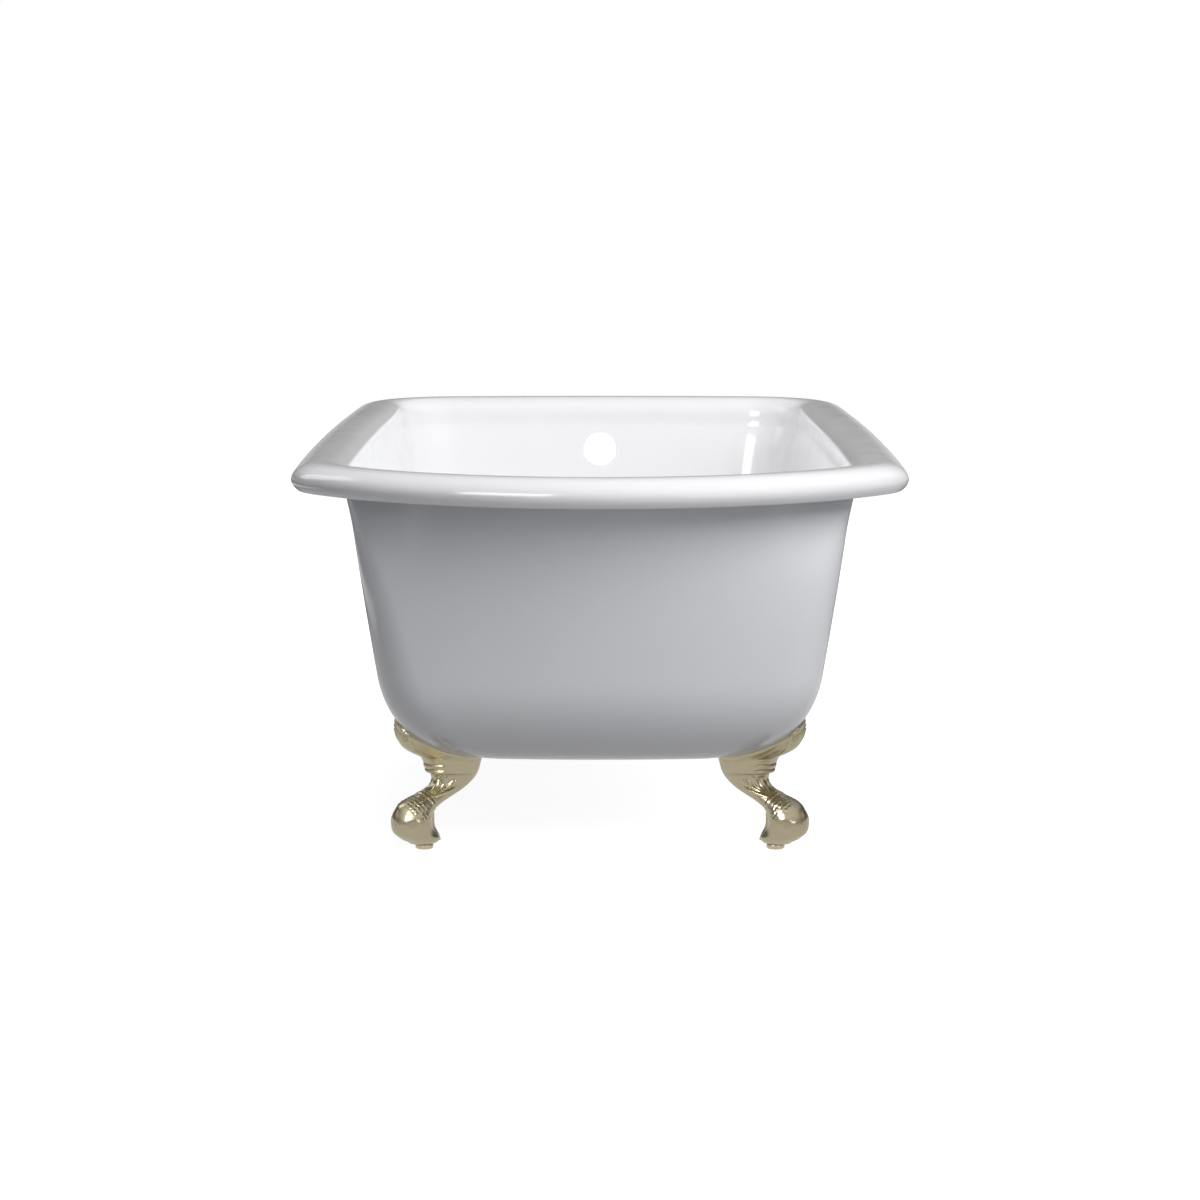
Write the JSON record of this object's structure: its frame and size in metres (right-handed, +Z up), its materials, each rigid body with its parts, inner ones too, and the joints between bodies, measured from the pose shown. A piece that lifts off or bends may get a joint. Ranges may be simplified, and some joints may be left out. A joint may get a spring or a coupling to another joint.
{
  "type": "bathtub",
  "caption": "Free-standing cast-iron bathtub with a broad rolled rim and a rounded end, standing on ball-and-claw feet with screw levellers.",
  "frame": {"origin": "on the floor, under the middle of the rim's outline", "axes": "+Z up, +Y towards the drain end, +X towards the right of someone who looks from the rounded end to the drain end"},
  "size_m": [0.914, 1.6759, 0.58],
  "materials": {
    "white_enamel": "glossy white vitreous enamel on cast iron",
    "polished_nickel": "polished nickel plate on a cast foot",
    "zinc_steel": "bright zinc-plated steel",
    "nickel_pad": "polished nickel plate on steel"
  },
  "bodies": {
    "tub": {"tub_shell": "white_enamel", "back_left_foot": "polished_nickel", "back_left_foot_bolt": "zinc_steel", "back_left_foot_washer": "zinc_steel", "back_right_foot": "polished_nickel", "back_right_foot_bolt": "zinc_steel", "back_right_foot_washer": "zinc_steel", "drain_left_foot": "polished_nickel", "drain_left_foot_bolt": "zinc_steel", "drain_left_foot_washer": "zinc_steel", "drain_right_foot": "polished_nickel", "drain_right_foot_bolt": "zinc_steel", "drain_right_foot_washer": "zinc_steel"},
    "back_left_pad": {"back_left_leveller_pad": "nickel_pad"},
    "back_left_stud": {"back_left_leveller_stud": "zinc_steel"},
    "back_right_pad": {"back_right_leveller_pad": "nickel_pad"},
    "back_right_stud": {"back_right_leveller_stud": "zinc_steel"},
    "drain_left_pad": {"drain_left_leveller_pad": "nickel_pad"},
    "drain_left_stud": {"drain_left_leveller_stud": "zinc_steel"},
    "drain_right_pad": {"drain_right_leveller_pad": "nickel_pad"},
    "drain_right_stud": {"drain_right_leveller_stud": "zinc_steel"}
  },
  "joints": [
    {"name": "back_left_pad_slide", "type": "slide", "parent": "tub", "child": "back_left_pad", "axis": [0, 0, -1], "range_m": [0, 0.01]},
    {"name": "back_left_stud_turn", "type": "hinge", "parent": "back_left_pad", "child": "back_left_stud", "pos_m": [-0.262, -0.533, 0], "axis": [0, 0, -1], "range_deg": [0, 2401]},
    {"name": "back_right_pad_slide", "type": "slide", "parent": "tub", "child": "back_right_pad", "axis": [0, 0, -1], "range_m": [0, 0.01]},
    {"name": "back_right_stud_turn", "type": "hinge", "parent": "back_right_pad", "child": "back_right_stud", "pos_m": [0.262, -0.533, 0], "axis": [0, 0, -1], "range_deg": [0, 2401]},
    {"name": "drain_left_pad_slide", "type": "slide", "parent": "tub", "child": "drain_left_pad", "axis": [0, 0, -1], "range_m": [0, 0.01]},
    {"name": "drain_left_stud_turn", "type": "hinge", "parent": "drain_left_pad", "child": "drain_left_stud", "pos_m": [-0.262, 0.625, 0], "axis": [0, 0, -1], "range_deg": [0, 2401]},
    {"name": "drain_right_pad_slide", "type": "slide", "parent": "tub", "child": "drain_right_pad", "axis": [0, 0, -1], "range_m": [0, 0.01]},
    {"name": "drain_right_stud_turn", "type": "hinge", "parent": "drain_right_pad", "child": "drain_right_stud", "pos_m": [0.262, 0.625, 0], "axis": [0, 0, -1], "range_deg": [0, 2401]}
  ],
  "couplings": [
    {"joint": "back_left_stud_turn", "follows": "back_left_pad_slide", "rad_per_m": 4188.8},
    {"joint": "back_right_stud_turn", "follows": "back_right_pad_slide", "rad_per_m": 4188.8},
    {"joint": "drain_left_stud_turn", "follows": "drain_left_pad_slide", "rad_per_m": 4188.8},
    {"joint": "drain_right_stud_turn", "follows": "drain_right_pad_slide", "rad_per_m": 4188.8}
  ]
}
